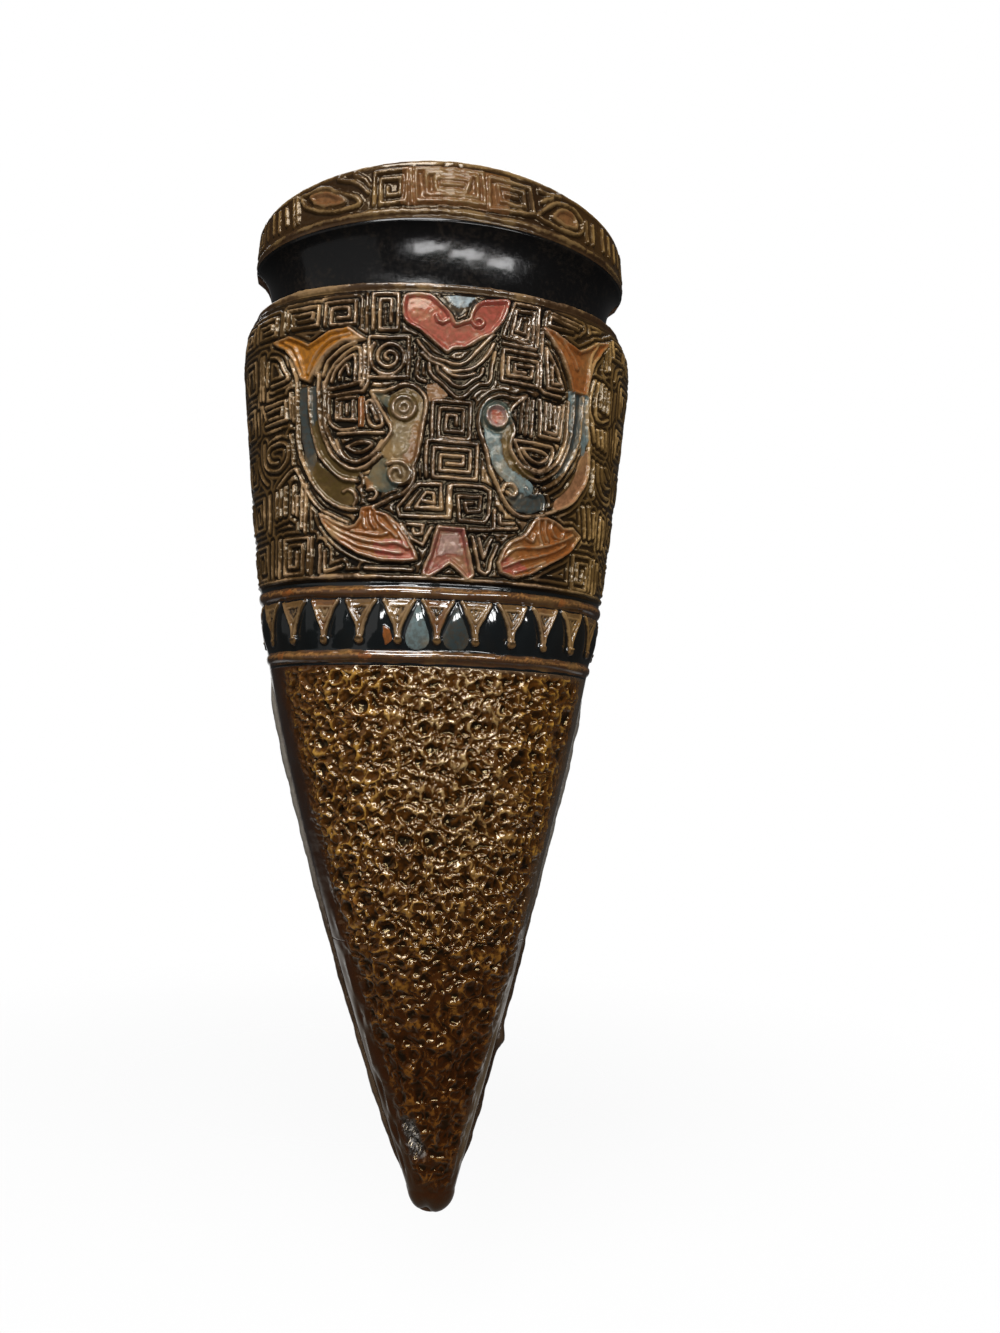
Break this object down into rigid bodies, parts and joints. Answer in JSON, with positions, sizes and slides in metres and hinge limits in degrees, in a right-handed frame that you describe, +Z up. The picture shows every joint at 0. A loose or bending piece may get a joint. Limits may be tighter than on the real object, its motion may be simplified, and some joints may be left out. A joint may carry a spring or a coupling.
{
  "type": "wall pocket vase",
  "caption": "Tall conical wall pocket vase: moulded half-round front with a crested rim, cove neck, relief ornament and a stippled cone, luted to a flat back pierced for a nail.",
  "frame": {"origin": "centre of the hanging hole on the plane of the flat back", "axes": "+Z up towards the rim, +Y out of the back towards the wall, +X to the viewer's right when the vase hangs"},
  "size_m": [0.0746, 0.0317, 0.19],
  "materials": {
    "lacquered_relief": "glossy brown lacquer over worn relief",
    "back_clay": "thin brown wash over earthenware",
    "slip_ridge": "smoothed slip under brown lacquer",
    "raw_clay": "bare red-brown earthenware"
  },
  "bodies": {
    "root": {"front_shell": "lacquered_relief", "back_slab": "back_clay", "seam_slip_left": "slip_ridge", "seam_slip_right": "slip_ridge", "seam_coil_left": "raw_clay", "seam_coil_right": "raw_clay", "tip_wad": "raw_clay"}
  },
  "joints": []
}
